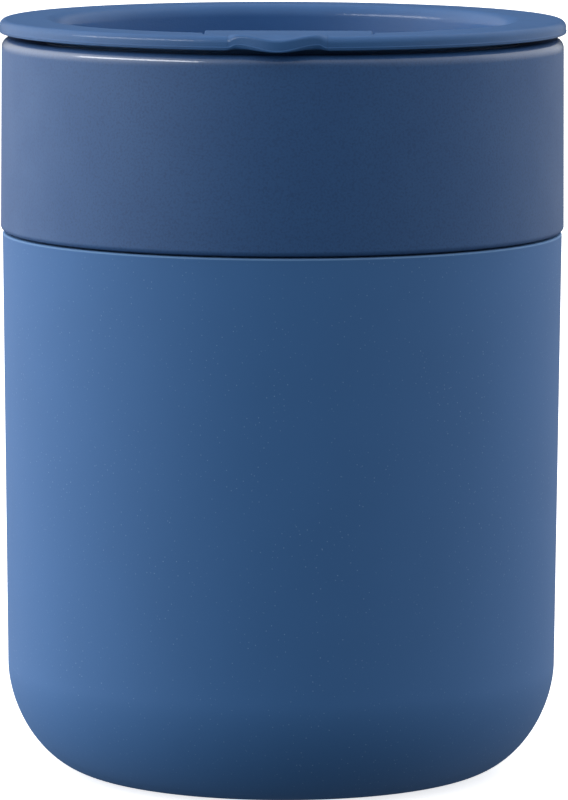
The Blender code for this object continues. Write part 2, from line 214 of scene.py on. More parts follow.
cup = {
    "seam": cupTop - 30.6 * mm,   # lower edge of the bare band
    "flare": 0.2 * mm,            # more radius there than at the rim
    "rimOuter": 1.5 * mm,
    "rimInner": 1.2 * mm,
    "bandEdge": 0.8 * mm,
    "bandWall": 5.2 * mm,
    "mouthDepth": 17.0 * mm,      # straight part that takes the lid
    "shoulderDepth": 18.0 * mm,   # eased step below it
    "wall": 4.4 * mm,
    "floor": 5.0 * mm,
    "bowl": 12.0 * mm,            # round of the bottom, inside
    "inset": 2.5 * mm,            # inside the sleeve's outer face
    "footRing": 6.0 * mm,
    "footDepth": 0.8 * mm,
}


def makeCup():
    bandRadius = cupHigh.x - cup["flare"]
    bottom = cupLow.z
    floor = bottom + cup["floor"]
    mouthRadius = bandRadius - cup["bandWall"]
    mouthBottom = cupTop - cup["mouthDepth"]
    lowRadius = sleeveHigh.x - corner["taper"] - cup["inset"]
    innerLow = lowRadius - cup["wall"]
    innerTop = innerLow + corner["taper"]
    footRadius = cornerCentre[0]
    rimOuter, rimInner, edge = cup["rimOuter"], cup["rimInner"], cup["bandEdge"]
    bowl = cup["bowl"]
    shoulderEnd = (innerTop, mouthBottom - cup["shoulderDepth"])

    outline = [(0.0, floor)]
    outline += reversed(cornerPoints((innerLow - bowl, floor + bowl), bowl, bowl, 2, 16))
    outline += reversed(easedPoints((mouthRadius, mouthBottom), shoulderEnd))
    outline += arcPoints((mouthRadius + rimInner, cupTop - rimInner), rimInner, 180, 90)
    outline += arcPoints((bandRadius - rimOuter, cupTop - rimOuter), rimOuter, 90, 0, 14)
    outline += arcPoints((cupHigh.x - edge, cup["seam"] + edge), edge, 0, -90)
    outline += [(sleeveHigh.x - cup["inset"], cup["seam"])]
    across = corner["centreInset"] - cup["inset"]
    outline += cornerPoints(cornerCentre, across, corner["height"] - bottom, corner["power"], 20)
    outline += [
        (footRadius - cup["footRing"], bottom),
        (footRadius - cup["footRing"] - cup["footDepth"], bottom + cup["footDepth"]),
        (0.0, bottom + cup["footDepth"]),
    ]
    return turnRound("stoneware_cup_fine", outline)


sleeve = {
    "wall": 2.2 * mm,
    "base": 2.5 * mm,
    "lipRound": 0.35 * mm,
    "restRing": 6.0 * mm,         # the ring that the mug stands on
    "restDepth": 0.6 * mm,
}


def makeSleeve():
    top, radius = sleeveHigh.z, sleeveHigh.x
    lip, base, wall = sleeve["lipRound"], sleeve["base"], sleeve["wall"]
    across, up, power = corner["centreInset"], corner["height"], corner["power"]
    restInner = cornerCentre[0] - sleeve["restRing"]
    rest = sleeve["restDepth"]
    outline = [(0.0, base)]
    outline += reversed(cornerPoints(cornerCentre, across - wall, up - base, power))
    outline += [(radius - wall, top)]
    outline += arcPoints((radius - lip, top - lip), lip, 90, 0, 8)
    outline += cornerPoints(cornerCentre, across, up, power, 48)
    outline += [(restInner, 0.0), (restInner - rest, rest), (0.0, rest)]
    return turnRound("silicone_sleeve_fine", outline)


lid = {
    "flange": 2.15 * mm,
    "flangeRound": 1.1 * mm,
    "seamInset": 0.06 * mm,       # flange's face behind the fine moulding line round it
    "seamPlace": 0.34 * mm,       # moulding line above the flange's underside
    "seamHeight": 0.14 * mm,
    "lowerRound": 0.2 * mm,
    "dishRadius": 35.6 * mm,
    "dishEdge": 2.2 * mm,
    "dishDepth": 9.0 * mm,
    "dishDraft": 0.6 * mm,
    "dishFillet": 2.0 * mm,
    "floor": 1.8 * mm,
    "skirtWall": 1.8 * mm,
    "skirtDepth": 13.0 * mm,
    "ribProud": 1.2 * mm,
    "ribHeight": 1.0 * mm,
    "ribDrop": 4.9 * mm,
    "groove": 3.6 * mm,
    "edge": 0.2 * mm,
    "ventRadius": 0.9 * mm,
    "ventPlace": 24.0 * mm,
}

pedestal = {
    "halfWidth": 15.6 * mm,
    "wall": 1.6 * mm,
    "round": 0.35 * mm,
    "lugWidth": 2.2 * mm,
    "lugHalfDepth": 1.2 * mm,
    "lugDrop": 0.45 * mm,
    "slotSetback": 0.3 * mm,
    "slotHalfWidth": 9.5 * mm,
    "slotWidth": 2.8 * mm,
}

flap = {
    "halfWidth": 12.9 * mm,
    "thickness": 2.0 * mm,
    "reach": 8.6 * mm,
    "cornerRound": 0.8 * mm,
    "edge": 0.25 * mm,
    "barrel": 1.5 * mm,
    "pegRadius": 0.45 * mm,
    "pegLength": 1.0 * mm,
    "pegPlace": 5.5 * mm,
}

tab = {
    "centre": -0.8 * mm,
    "halfWidth": 7.6 * mm,
    "thickness": 1.3 * mm,
    "overhang": 1.1 * mm,
    "dip": 0.42 * mm,
    "rise": 0.31 * mm,
    "shoulder": 6.2 * mm,
    "edge": 0.5 * mm,             # round of its upper front edge, in the middle
    "lineDip": 0.45 * mm,         # moulding line at its middle, below the flange's
    "lineLift": 0.50 * mm,        # and at its shoulders, above it
    "lipEdge": 0.12 * mm,         # extra round of its lower edge at the middle
    "scoop": 0.50 * mm,           # and at the shoulders, as a hold for a thumb
    "scoopLift": 0.18 * mm,
    "lipDrop": 0.28 * mm,         # the lip hangs below the flange at its middle
    "step": 42.5 * mm,            # the lip behind this is as thin as the neck
    "sideGap": 0.02 * mm,
    "bottomGap": 0.05 * mm,
    "crease": 0.25 * mm,          # dip where the tab leaves the flap
    "creaseLength": 0.18,         # shares of the way out to its front
    "swellStart": 0.25,
    "swellLength": 0.65,
}

lidUnderside = lidTop - lid["flange"]
dishFloor = lidTop - lid["dishDepth"]
pedestalLow = hingeZ - flap["barrel"] - gap
pedestalHigh = lidTop - flap["thickness"] - gap
pedestalBack = hingeY + flap["barrel"]
pedestalStep = hingeY - flap["barrel"] - gap
flapFront = hingeY - flap["reach"]
slotFront = -(lid["dishRadius"] - pedestal["slotSetback"])
slotBack = slotFront + pedestal["slotWidth"]


def pedestalOutline(halfWidth, radius, back, steps=24):
    # straight back and sides, and a front that follows a circle about the mug's axis
    left, right = hingeX - halfWidth, hingeX + halfWidth
    start, end = math.asin(left / radius), math.asin(right / radius)
    front = []
    for step in range(steps + 1):
        angle = start + (end - start) * step / steps
        front.append((radius * math.sin(angle), -radius * math.cos(angle)))
    return front + [(right, back), (left, back)]


def makeLidShell():
    radius, roundness = lidRadius, lid["flangeRound"]
    face = radius - lid["seamInset"]
    seamLow = lidUnderside + lid["seamPlace"]
    seamHigh = seamLow + lid["seamHeight"]
    skirtInner = lid["dishRadius"]
    skirtOuter = skirtInner + lid["skirtWall"]
    skirtBottom = lidTop - lid["skirtDepth"]
    ribRadius = skirtOuter + lid["ribProud"]
    fillet, edge, dishEdge = lid["dishFillet"], lid["edge"], lid["dishEdge"]
    filletCentre = (lid["dishRadius"] - lid["dishDraft"] - fillet, dishFloor + fillet)
    upperRib = lidTop - lid["ribDrop"]
    lowerRib = upperRib - lid["ribHeight"] - lid["groove"]

    outline = [(0.0, dishFloor)]
    outline += arcPoints(filletCentre, fillet, -90, 0)
    outline += arcPoints((skirtInner + dishEdge, lidTop - dishEdge), dishEdge, 180, 90, 14)
    outline += arcPoints((face - roundness, lidTop - roundness), roundness, 90, 0, 12)
    outline += [(face, seamHigh + lid["seamInset"]), (radius, seamHigh), (radius, seamLow)]
    outline += [(face, seamLow - lid["seamInset"])]
    lowRound = lid["lowerRound"]
    outline += arcPoints((face - lowRound, lidUnderside + lowRound), lowRound, 0, -90, 8)
    outline += [(skirtOuter, lidUnderside)]
    for top in (upperRib, lowerRib):
        bottom = top - lid["ribHeight"]
        outline += [(skirtOuter, top), (ribRadius - edge, top), (ribRadius, top - edge)]
        outline += [(ribRadius, bottom + edge), (ribRadius - edge, bottom), (skirtOuter, bottom)]
    outline += [(skirtOuter, skirtBottom + edge), (skirtOuter - edge, skirtBottom)]
    outline += [(skirtInner + edge, skirtBottom), (skirtInner, skirtBottom + edge)]
    outline += [(skirtInner, dishFloor - lid["floor"]), (0.0, dishFloor - lid["floor"])]
    return turnRound("lid_body_fine", outline)


def makeLid():
    made = makeLidShell()
    wallMiddle = lid["dishRadius"] + lid["skirtWall"] / 2
    floorMiddle = dishFloor - lid["floor"] / 2
    skirtBottom = lidTop - lid["skirtDepth"]
    half, wall, rounding = pedestal["halfWidth"], pedestal["wall"], pedestal["round"]

    low = pedestalOutline(half, wallMiddle, pedestalBack)
    high = pedestalOutline(half, wallMiddle, pedestalStep)
    combine(made, "UNION", prism("pedestalBase", low, floorMiddle, pedestalLow, rounding))
    combine(made, "UNION", prism("pedestalShelf", high, floorMiddle, pedestalHigh, rounding))
    for side in (-1, 1):
        near = hingeX + side * (flap["halfWidth"] + gap)
        far = near + side * pedestal["lugWidth"]
        front, back = hingeY - pedestal["lugHalfDepth"], hingeY + pedestal["lugHalfDepth"]
        lug = boxOutline(min(near, far), max(near, far), front, back)
        combine(made, "UNION", prism("lug", lug, floorMiddle, lidTop - pedestal["lugDrop"], rounding))
    hollow = pedestalOutline(half - wall, -slotFront, pedestalBack - wall)
    combine(made, "DIFFERENCE", prism("hollow", hollow, skirtBottom - gap, pedestalLow - wall))

    over = lidTop + mm
    pocketHalf = flap["halfWidth"] + gap
    pocket = boxOutline(hingeX - pocketHalf, hingeX + pocketHalf, flapFront - gap, pedestalStep)
    neckLeft = tab["centre"] - tab["halfWidth"] - tab["sideGap"]
    neckRight = tab["centre"] + tab["halfWidth"] + tab["sideGap"]
    notch = boxOutline(neckLeft, neckRight, -lidRadius - mm, flapFront + gap)
    front = boxOutline(neckLeft, neckRight, -lidRadius - mm, -tab["step"] + tab["sideGap"])
    slot = stadium(hingeX, pedestal["slotHalfWidth"], slotFront, slotBack)
    combine(made, "DIFFERENCE", prism("pocket", pocket, pedestalHigh, over, rounding))
    combine(made, "DIFFERENCE", prism("notch", notch, lidTop - tab["thickness"] - gap, over))
    combine(made, "DIFFERENCE", prism("front", front, lidUnderside - mm, over))
    combine(made, "DIFFERENCE", prism("slot", slot, pedestalLow - wall - gap, over))
    reach = flap["halfWidth"] + gap + pedestal["lugWidth"] + gap
    combine(made, "DIFFERENCE", rod("bore", boreRadius, hingeX - reach, hingeX + reach, hingeY, hingeZ))
    ventRadius, ventPlace = lid["ventRadius"], lid["ventPlace"]
    vent = stadium(0.0, ventRadius, ventPlace - ventRadius, ventPlace + ventRadius)
    combine(made, "DIFFERENCE", prism("vent", vent, dishFloor - lid["floor"] - gap, dishFloor + gap))
    return closeUp(made)


gasket = {
    "body": 0.8 * mm,
    "fin": 0.9 * mm,
    "finPlaces": (0.75, 0.3),     # shares of the height
}


def makeGasket():
    inner = lid["dishRadius"] + lid["skirtWall"] + gap
    body = inner + gasket["body"]
    tip, top, bottom = gasketHigh.x, gasketHigh.z, gasketLow.z
    tipRound = gasket["fin"] / 8
    outline = [(inner, bottom), (inner, top), (body, top)]
    for share in gasket["finPlaces"]:
        level = bottom + (top - bottom) * share
        outline += [(body, level)]
        outline += arcPoints((tip - tipRound, level - gasket["fin"] / 3 - tipRound), tipRound, 60, -90, 5)
        outline += [(body, level - gasket["fin"])]
    outline += [(body, bottom)]
    return turnRound("lid_gasket_fine", outline, closed=True)


def shoulderWave(x, middle, shoulder):
    # height across the tab: one value at its middle, another at its shoulders, none at its sides
    away = abs(x)
    if away <= tab["shoulder"]:
        return middle + (shoulder - middle) * (1 - math.cos(math.pi * away / tab["shoulder"])) / 2
    rest = (away - tab["shoulder"]) / (tab["halfWidth"] - tab["shoulder"])
    return shoulder * (1 + math.cos(math.pi * rest)) / 2


def tabSection(x, topSteps=20, edgeSteps=8, lipSteps=6):
    # round the tab's section at a place across it, over the top and back underneath, as (radius, z, share),
    # where the share says how far the point follows the flange's circle instead of a straight line
    away = abs(x) / tab["halfWidth"]
    face = lidRadius - lid["seamInset"] + tab["overhang"] * (1 + math.cos(math.pi * away)) / 2
    top = lidTop + shoulderWave(x, -tab["dip"], tab["rise"])
    rounding = tab["edge"] + (lid["flangeRound"] - tab["edge"]) * away ** 4
    line = lidUnderside + lid["seamPlace"] + lid["seamHeight"]
    line += shoulderWave(x, -tab["lineDip"], tab["lineLift"])
    root = -flapFront - flap["cornerRound"]
    section = []
    for step in range(topSteps + 1):
        share = step / topSteps
        radius = root + (face - rounding - root) * share
        swell = min(1.0, max(0.0, (share - tab["swellStart"]) / tab["swellLength"]))
        ease = (1 - math.cos(math.pi * swell)) / 2
        sink = tab["crease"] * max(0.0, 1 - share / tab["creaseLength"]) ** 2
        section.append((radius, lidTop - sink + (top - lidTop) * ease, share))
    # the upper round stops at the moulding line, and points that repeat make up its number
    ridge, inset = face + lid["seamInset"], lid["seamInset"]
    upper = arcPoints((face - rounding, top - rounding), rounding, 90, 0, edgeSteps)[1:]
    upper = [(radius, z, 1.0) for radius, z in upper if z > line + inset]
    section += upper + [(face, line + inset, 1.0)] * (edgeSteps + 1 - len(upper))
    section += [(ridge, line, 1.0), (ridge, line - lid["seamHeight"], 1.0)]
    # below the moulding line it draws back to the underside, further under the shoulders than in the middle
    low = line - lid["seamHeight"] - inset
    bottom = lidUnderside + tab["bottomGap"] + shoulderWave(x, -tab["lipDrop"], tab["scoopLift"])
    back = lid["lowerRound"] + shoulderWave(x, tab["lipEdge"], tab["scoop"])
    for step in range(lipSteps + 1):
        angle = math.pi / 2 * step / lipSteps
        section.append((face - back + back * math.cos(angle), low - (low - bottom) * math.sin(angle), 1.0))
    floor = lidTop - tab["thickness"] - gap + tab["sideGap"]
    section += [(tab["step"], bottom, 0.0), (tab["step"], floor, 0.0), (root, floor, 0.0)]
    return section


def makeTab(across=48):
    # a grid with a row for each point of the section, wrapped round it
    rows = len(tabSection(0.0))
    bpy.ops.object.select_all(action="DESELECT")
    bpy.ops.mesh.primitive_grid_add(x_subdivisions=across, y_subdivisions=rows - 1, size=1)
    made = bpy.context.object
    made.name = "thumbTab"
    for vertex in made.data.vertices:
        x = vertex.co.x * 2 * tab["halfWidth"]
        radius, z, share = tabSection(x)[round((vertex.co.y + 0.5) * (rows - 1))]
        place = x + tab["centre"]
        sagitta = radius - math.sqrt(radius ** 2 - place ** 2)
        vertex.co = (place, share * sagitta - radius, z)
    # joined along the root, then both ends are filled
    bpy.ops.object.mode_set(mode="EDIT")
    bpy.ops.mesh.select_mode(type="EDGE")
    bpy.ops.mesh.select_all(action="DESELECT")
    bpy.ops.object.mode_set(mode="OBJECT")
    root = flapFront + flap["cornerRound"]
    for edge in made.data.edges:
        ends = [made.data.vertices[index].co for index in edge.vertices]
        level = abs(ends[0].z - ends[1].z) < mergeDistance
        edge.select = level and all(abs(end.y - root) < mergeDistance for end in ends)
    bpy.ops.object.mode_set(mode="EDIT")
    bpy.ops.mesh.bridge_edge_loops()
    bpy.ops.mesh.select_all(action="DESELECT")
    bpy.ops.mesh.select_non_manifold()
    bpy.ops.mesh.edge_face_add()
    return closeUp(made)


def makeFlap():
    # the plate and the barrel are one side view, drawn and extruded along the hinge
    left, right = hingeX - flap["halfWidth"], hingeX + flap["halfWidth"]
    under = lidTop - flap["thickness"]
    meet = math.degrees(math.asin((under - hingeZ) / flap["barrel"]))
    side = [(flapFront, under)]
    side += arcPoints((hingeY, hingeZ), flap["barrel"], 180 - meet, 450, 30)
    side += [(flapFront, lidTop)]
    made = drawPath("sip_flap_fine", [(left, y, z) for y, z in side], closed=True)
    bpy.ops.mesh.select_all(action="SELECT")
    bpy.ops.mesh.remove_doubles(threshold=mergeDistance)
    bpy.ops.mesh.edge_face_add()
    bpy.ops.mesh.extrude_region_move(TRANSFORM_OT_translate={"value": (right - left, 0, 0)})
    bpy.ops.mesh.select_mode(type="EDGE")
    bpy.ops.mesh.select_all(action="DESELECT")
    bpy.ops.object.mode_set(mode="OBJECT")
    for edge in made.data.edges:
        ends = [made.data.vertices[index].co for index in edge.vertices]
        upright = abs(ends[0].z - ends[1].z) > mm
        edge.select = upright and all(abs(end.y - flapFront) < mergeDistance for end in ends)
    bpy.ops.object.mode_set(mode="EDIT")
    bpy.ops.mesh.bevel(offset=flap["cornerRound"], segments=8, affect="EDGES")
    closeUp(made)
    roundEdges(made, flap["edge"])
    combine(made, "UNION", makeTab())
    middle, radius = (slotFront + slotBack) / 2, flap["pegRadius"]
    for sign in (-1, 1):
        peg = stadium(hingeX + sign * flap["pegPlace"], radius, middle - radius, middle + radius)
        combine(made, "UNION", prism("peg", peg, under - flap["pegLength"], under + gap))
    combine(made, "DIFFERENCE", rod("bore", boreRadius, left - gap, right + gap, hingeY, hingeZ))
    return closeUp(made)


stopper = {
    "clearance": 0.4 * mm,
    "taper": 0.4 * mm,
    "edge": 0.15 * mm,
}


def makeStopper():
    low, high = stopperLow.z, stopperHigh.z
    clear, middle = stopper["clearance"], (slotFront + slotBack) / 2
    outline = stadium(hingeX, pedestal["slotHalfWidth"] - clear, slotFront + clear, slotBack - clear)
    made = prism("flap_stopper_fine", outline, low, high)
    # the lower face is drawn in, so that it swings out of the slot
    bpy.ops.object.mode_set(mode="EDIT")
    bpy.ops.mesh.select_mode(type="FACE")
    bpy.ops.mesh.select_all(action="DESELECT")
    bpy.ops.object.mode_set(mode="OBJECT")
    for face in made.data.polygons:
        face.select = face.normal.z < -0.9    # looks down
    bpy.ops.object.mode_set(mode="EDIT")
    halfLength = pedestal["slotHalfWidth"] - clear
    halfDepth = pedestal["slotWidth"] / 2 - clear
    shrink = ((halfLength - stopper["taper"]) / halfLength, (halfDepth - stopper["taper"]) / halfDepth, 1)
    bpy.ops.transform.resize(value=shrink, center_override=(hingeX, middle, low))
    closeUp(made)
    roundEdges(made, stopper["edge"])
    for side in (-1, 1):
        radius = flap["pegRadius"] + gap / 2
        hole = stadium(hingeX + side * flap["pegPlace"], radius, middle - radius, middle + radius)
        combine(made, "DIFFERENCE", prism("hole", hole, high - flap["pegLength"], high + gap))
    return closeUp(made)


pinChamfer = 0.12 * mm


def makePin():
    return rod("hinge_pin_fine", pinHigh.z - hingeZ, pinLow.x, pinHigh.x, hingeY, hingeZ, pinChamfer)


def srgb(hexColour):
    # "#rrggbb" to the linear colour that a shader takes
    channels = []
    for start in (1, 3, 5):
        value = int(hexColour[start:start + 2], 16) / 255
        channels.append(value / 12.92 if value <= 0.04045 else ((value + 0.055) / 1.055) ** 2.4)
    return (*channels, 1.0)


def newMaterial(name):
    made = bpy.data.materials.new(name)
    made.use_nodes = True
    made.node_tree.nodes.clear()
    return made


def addNode(tree, kind, settings=None, links=None):
    # settings are the node's own or its sockets'; links go from an output to a named or numbered socket
    node = tree.nodes.new(kind)
    for key, value in (settings or {}).items():
        if isinstance(key, str) and hasattr(node, key):
            setattr(node, key, value)
        else:
            node.inputs[key].default_value = value
    for key, output in (links or {}).items():
        tree.links.new(output, node.inputs[key])
    return node


def finePattern(size):
    # noise scale that gives features of this size, in metres
    return 1 / size


skinIor = 1.36            # low, since all three satin skins reflect little

# Stoneware with a satin glaze: the body is dipped and fired, so the colour lies under a thin silky coat,
# with soft clouds of tone and pinhead-fine darker flecks. Rims and shoulders give a narrow bright line.
glaze = {
    "colour": "#325B8E",
    "cloud": "#2C5386",
    "fleck": "#1F3E69",
    "cloudSize": 9.0 * mm,
    "fleckSize": 0.34 * mm,       # real flecks are about 0.1 mm; drawn as coarse as they need to show
    "rippleSize": 1.3 * mm,
    "rippleHeight": 0.012 * mm,
    "ripple": 0.6,                # strength of it as bump
    "flecked": (0.45, 0.70),      # noise that starts a fleck, and that gives its full tone
    "fleckTone": 0.40,
    "roughness": 0.55,
    "roughnessSpread": 0.05,
    "coat": 0.0,
    "rimCoat": 0.8,               # the glaze gathers glossy over the rim's round
    "rimDrop": 1.9 * mm,
    "coatRoughness": 0.16,
    "coatIor": 1.6,
}


def makeGlaze():
    made = newMaterial("satin_glazed_stoneware")
    tree = made.node_tree
    place = addNode(tree, "ShaderNodeTexCoord").outputs["Object"]
    cloud = addNode(tree, "ShaderNodeTexNoise",
                    {"Scale": finePattern(glaze["cloudSize"]), "Detail": 3.0}, {"Vector": place})
    fleck = addNode(tree, "ShaderNodeTexNoise",
                    {"Scale": finePattern(glaze["fleckSize"]), "Detail": 2.0}, {"Vector": place})
    ripple = addNode(tree, "ShaderNodeTexNoise",
                     {"Scale": finePattern(glaze["rippleSize"]), "Detail": 2.0}, {"Vector": place})
    toned = addNode(tree, "ShaderNodeMix",
                    {"data_type": "RGBA", 6: srgb(glaze["colour"]), 7: srgb(glaze["cloud"])},
                    {0: cloud.outputs["Fac"]})
    flecked = addNode(tree, "ShaderNodeMapRange",
                      {"From Min": glaze["flecked"][0], "From Max": glaze["flecked"][1],
                       "To Min": 0.0, "To Max": glaze["fleckTone"]},
                      {"Value": fleck.outputs["Fac"]})
    colour = addNode(tree, "ShaderNodeMix", {"data_type": "RGBA", 7: srgb(glaze["fleck"])},
                     {0: flecked.outputs["Result"], 6: toned.outputs[2]})
    rough = addNode(tree, "ShaderNodeMapRange",
                    {"To Min": glaze["roughness"] - glaze["roughnessSpread"],
                     "To Max": glaze["roughness"] + glaze["roughnessSpread"]},
                    {"Value": cloud.outputs["Fac"]})
    bump = addNode(tree, "ShaderNodeBump", {"Strength": glaze["ripple"], "Distance": glaze["rippleHeight"]},
                   {"Height": ripple.outputs["Fac"]})
    height = addNode(tree, "ShaderNodeSeparateXYZ", links={"Vector": place}).outputs["Z"]
    coat = addNode(tree, "ShaderNodeMapRange",
                   {"From Min": cupTop - glaze["rimDrop"], "From Max": cupTop - glaze["rimDrop"] / 2,
                    "To Min": glaze["coat"], "To Max": glaze["rimCoat"]},
                   {"Value": height})
    shader = addNode(tree, "ShaderNodeBsdfPrincipled",
                     {"IOR": skinIor, "Coat Roughness": glaze["coatRoughness"], "Coat IOR": glaze["coatIor"]},
                     {"Base Color": colour.outputs[2], "Roughness": rough.outputs["Result"],
                      "Normal": bump.outputs["Normal"], "Coat Weight": coat.outputs["Result"]})
    addNode(tree, "ShaderNodeOutputMaterial", links={"Surface": shader.outputs["BSDF"]})
    return made


# Silicone rubber, moulded in a blasted tool: dull and velvety, it scatters light at grazing angles,
# and its tacky skin holds the odd pale speck of dust.
silicone = {
    "colour": "#3B6AA2",
    "cloud": "#37659B",
    "dust": "#93B2D6",
    "cloudSize": 14.0 * mm,
    "dustSpacing": 0.9 * mm,      # between neighbouring specks
    "dustRadius": 0.12 * mm,      # lint is finer still; drawn as coarse as it needs to show
    "dustPatches": (0.38, 0.62),  # cloud tones with the least and the most dust
    "dustTone": (0.25, 0.75),     # and how strong its specks are there
    "grainSize": 0.35 * mm,
    "grainHeight": 0.010 * mm,
    "grain": 0.6,
    "roughness": 0.62,
    "paintedLipHighlight": "#86B0DC",            # painted highlight: its upper lip is drawn pale, for the light line that it catches
    "highlightHeight": 0.35 * mm,
    "highlightStrength": 0.45,
}


# what differs in the gasket and the stopper
seal = {
    "colour": "#3A689E",
    "cloud": "#356196",
    "highlightStrength": 0.0,
}


def makeSilicone(name, values):
    made = newMaterial(name)
    tree = made.node_tree
    place = addNode(tree, "ShaderNodeTexCoord").outputs["Object"]
    cloud = addNode(tree, "ShaderNodeTexNoise",
                    {"Scale": finePattern(values["cloudSize"]), "Detail": 2.0}, {"Vector": place})
    dust = addNode(tree, "ShaderNodeTexVoronoi",
                   {"Scale": finePattern(values["dustSpacing"])}, {"Vector": place})
    grain = addNode(tree, "ShaderNodeTexNoise",
                    {"Scale": finePattern(values["grainSize"]), "Detail": 2.0}, {"Vector": place})
    toned = addNode(tree, "ShaderNodeMix",
                    {"data_type": "RGBA", 6: srgb(values["colour"]), 7: srgb(values["cloud"])},
                    {0: cloud.outputs["Fac"]})
    # most dust clings in patches
    patches = addNode(tree, "ShaderNodeMapRange",
                      {"From Min": values["dustPatches"][0], "From Max": values["dustPatches"][1],
                       "To Min": values["dustTone"][0], "To Max": values["dustTone"][1]},
                      {"Value": cloud.outputs["Fac"]})
    speck = addNode(tree, "ShaderNodeMapRange",
                    {"From Min": values["dustRadius"] / values["dustSpacing"],
                     "From Max": 0.0, "To Min": 0.0},
                    {"Value": dust.outputs["Distance"], "To Max": patches.outputs["Result"]})
    height = addNode(tree, "ShaderNodeSeparateXYZ", links={"Vector": place}).outputs["Z"]
    # painted highlight: the top of the sleeve fades to a pale colour, standing in for the light that its lip
    # catches
    highlightMask = addNode(tree, "ShaderNodeMapRange",
                     {"From Min": sleeveHigh.z - values["highlightHeight"],
                      "From Max": sleeveHigh.z - values["highlightHeight"] / 2,
                      "To Min": 0.0, "To Max": values["highlightStrength"]},
                     {"Value": height})
    dusted = addNode(tree, "ShaderNodeMix", {"data_type": "RGBA", 7: srgb(values["dust"])},
                     {0: speck.outputs["Result"], 6: toned.outputs[2]})
    # the painted lip highlight is mixed over the dusted colour
    colour = addNode(tree, "ShaderNodeMix", {"data_type": "RGBA", 7: srgb(values["paintedLipHighlight"])},
                     {0: highlightMask.outputs["Result"], 6: dusted.outputs[2]})
    bump = addNode(tree, "ShaderNodeBump", {"Strength": values["grain"], "Distance": values["grainHeight"]},
                   {"Height": grain.outputs["Fac"]})
    shader = addNode(tree, "ShaderNodeBsdfPrincipled",
                     {"IOR": skinIor, "Roughness": values["roughness"]},
                     {"Base Color": colour.outputs[2], "Normal": bump.outputs["Normal"]})
    addNode(tree, "ShaderNodeOutputMaterial", links={"Surface": shader.outputs["BSDF"]})
    return made


# Polypropylene, injection moulded with a fine spark-eroded grain: satin and slightly waxy,
# with a broken sparkle along its rounded edges.
polypropylene = {
    "colour": "#2C5F97",
    "cloud": "#28578C",
    "cloudSize": 6.0 * mm,
    "grainSize": 0.40 * mm,       # the tool's grain is about 0.1 mm; drawn as coarse as it needs to show
    "grainHeight": 0.030 * mm,
    "grain": 0.8,
    "roughness": 0.74,
    "roughnessSpread": 0.06,
    "coat": 0.28,                 # the skin that the mould leaves over the resin
    "coatRoughness": 0.17,
}


def makePolypropylene(values):
    made = newMaterial("moulded_polypropylene")
    tree = made.node_tree
    place = addNode(tree, "ShaderNodeTexCoord").outputs["Object"]
    cloud = addNode(tree, "ShaderNodeTexNoise",
                    {"Scale": finePattern(values["cloudSize"]), "Detail": 3.0}, {"Vector": place})
    grain = addNode(tree, "ShaderNodeTexNoise",
                    {"Scale": finePattern(values["grainSize"]), "Detail": 2.0}, {"Vector": place})
    colour = addNode(tree, "ShaderNodeMix",
                     {"data_type": "RGBA", 6: srgb(values["colour"]), 7: srgb(values["cloud"])},
                     {0: cloud.outputs["Fac"]})
    rough = addNode(tree, "ShaderNodeMapRange",
                    {"To Min": values["roughness"] - values["roughnessSpread"],
                     "To Max": values["roughness"] + values["roughnessSpread"]},
                    {"Value": grain.outputs["Fac"]})
    bump = addNode(tree, "ShaderNodeBump", {"Strength": values["grain"], "Distance": values["grainHeight"]},
                   {"Height": grain.outputs["Fac"]})
    shader = addNode(tree, "ShaderNodeBsdfPrincipled",
                     {"IOR": skinIor, "Coat Weight": values["coat"],
                      "Coat Roughness": values["coatRoughness"]},
                     {"Base Color": colour.outputs[2], "Roughness": rough.outputs["Result"],
                      "Normal": bump.outputs["Normal"], "Coat Normal": bump.outputs["Normal"]})
    addNode(tree, "ShaderNodeOutputMaterial", links={"Surface": shader.outputs["BSDF"]})
    return made


# Stainless steel wire, drawn and cut: fine scratches run round it.
steel = {
    "colour": "#C3C4C6",
    "shade": "#A9ABAE",
    "scratchSize": 0.12 * mm,
    "stretch": (1.0, 0.1, 0.1),    # less scale is longer
    "roughness": 0.28,
    "roughnessSpread": 0.08,
}


def makeSteel():
    made = newMaterial("drawn_stainless_steel")
    tree = made.node_tree
    place = addNode(tree, "ShaderNodeTexCoord").outputs["Object"]
    along = addNode(tree, "ShaderNodeMapping", {"Scale": steel["stretch"]}, {"Vector": place})
    scratch = addNode(tree, "ShaderNodeTexNoise",
                      {"Scale": finePattern(steel["scratchSize"]), "Detail": 2.0},
                      {"Vector": along.outputs["Vector"]})
    colour = addNode(tree, "ShaderNodeMix",
                     {"data_type": "RGBA", 6: srgb(steel["colour"]), 7: srgb(steel["shade"])},
                     {0: scratch.outputs["Fac"]})
    rough = addNode(tree, "ShaderNodeMapRange",
                    {"To Min": steel["roughness"] - steel["roughnessSpread"],
                     "To Max": steel["roughness"] + steel["roughnessSpread"]},
                    {"Value": scratch.outputs["Fac"]})
    shader = addNode(tree, "ShaderNodeBsdfPrincipled", {"Metallic": 1.0},
                     {"Base Color": colour.outputs[2], "Roughness": rough.outputs["Result"]})
    addNode(tree, "ShaderNodeOutputMaterial", links={"Surface": shader.outputs["BSDF"]})
    return made


def putOn(piece, node, body, material):
    # the piece rides its body, and stands for the CAD node, which takes the same material
    piece.data.materials.clear()
    piece.data.materials.append(material)
    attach(piece, body)
    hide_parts(node)
    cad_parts[node].data.materials.clear()
    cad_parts[node].data.materials.append(material)
    print("made", piece.name, len(piece.data.polygons), "faces")


glazeMaterial = makeGlaze()
sleeveMaterial = makeSilicone("moulded_silicone_sleeve", silicone)
sealMaterial = makeSilicone("moulded_silicone_seal", {**silicone, **seal})
plasticMaterial = makePolypropylene(polypropylene)
steelMaterial = makeSteel()

